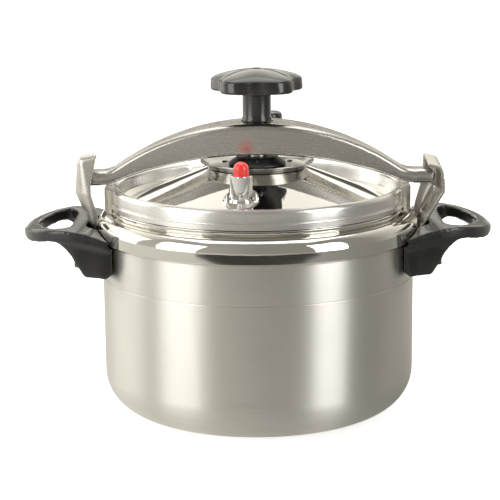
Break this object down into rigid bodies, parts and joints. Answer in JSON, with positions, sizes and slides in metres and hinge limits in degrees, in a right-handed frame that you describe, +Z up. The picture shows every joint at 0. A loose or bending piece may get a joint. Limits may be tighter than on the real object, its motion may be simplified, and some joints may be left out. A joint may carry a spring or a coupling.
{
  "type": "pressure canner",
  "caption": "Clamp-type pressure canner: deep round pot with a domed lid held down by an arched bar, hooks at the side handles and a star knob screw.",
  "frame": {"origin": "centre of the pot's flat bottom", "axes": "+Z up the pot's axis, +X through the right handle, -Y towards the front"},
  "size_m": [0.361, 0.247, 0.262],
  "materials": {
    "pot_satin": "brushed satin",
    "lid_polished": "polished",
    "bar_polished": "polished",
    "hook_steel": "polished",
    "bright_steel": "satin",
    "dark_steel": "blackened",
    "valve_chrome": "mirror",
    "bush_brass": "turned",
    "bakelite": "moulded, semi-gloss",
    "knob_black": "moulded, gloss",
    "cap_red": "gloss",
    "seal_rubber": "matt"
  },
  "bodies": {
    "base": {"pot_body": "pot_satin", "handle_left": "bakelite", "handle_right": "bakelite", "hook_left": "hook_steel", "hook_right": "hook_steel", "hook_pads": "bright_steel", "hook_rivets": "bright_steel", "handle_screws": "dark_steel", "handle_studs": "bright_steel"},
    "gasket": {"lid_gasket": "seal_rubber"},
    "lid": {"lid_shell": "lid_polished", "pressure_dish": "lid_polished", "dish_rivets": "bright_steel", "float_sleeve": "valve_chrome", "float_seal": "seal_rubber", "float_nut": "bright_steel", "vent_pipe": "valve_chrome", "vent_seal": "seal_rubber", "vent_nut": "bright_steel"},
    "knob": {"knob": "knob_black", "knob_insert": "bush_brass", "knob_screw": "dark_steel", "clamp_spindle": "bright_steel", "pressure_foot": "valve_chrome", "foot_pin": "dark_steel"},
    "bush": {"bar_bush": "bush_brass"},
    "bar": {"clamp_bar": "bar_polished"},
    "float": {"float_pin": "bright_steel", "float_cap": "cap_red"},
    "weight": {"regulator_weight": "valve_chrome", "regulator_cap": "knob_black"}
  },
  "joints": [
    {"name": "lid_lift", "type": "slide", "parent": "base", "child": "gasket", "axis": [0, 0, 1], "range_m": [0, 0.0613]},
    {"name": "lid_turn", "type": "hinge", "parent": "gasket", "child": "lid", "pos_m": [0, 0, 0.16], "axis": [0, 0, -1], "range_deg": [0, 360]},
    {"name": "knob_turn", "type": "hinge", "parent": "lid", "child": "knob", "pos_m": [0, 0, 0.25], "axis": [0, 0, -1], "range_deg": [-90, 200]},
    {"name": "beam_rise", "type": "slide", "parent": "lid", "child": "bush", "axis": [0, 0, 1], "range_m": [-0.0008, 0.0018]},
    {"name": "beam_turn", "type": "hinge", "parent": "bush", "child": "bar", "pos_m": [0, 0, 0.21], "axis": [0, 0, -1], "range_deg": [0, 70]},
    {"name": "float_lift", "type": "slide", "parent": "lid", "child": "float", "axis": [0, 0, 1], "range_m": [0, 0.004]},
    {"name": "weight_lift", "type": "slide", "parent": "lid", "child": "weight", "axis": [0, 0, 1], "range_m": [0, 0.024]}
  ],
  "couplings": [
    {"joint": "lid_lift", "follows": "lid_turn", "m_per_rad": 0.00974},
    {"joint": "beam_rise", "follows": "knob_turn", "m_per_rad": 0.00047746}
  ]
}
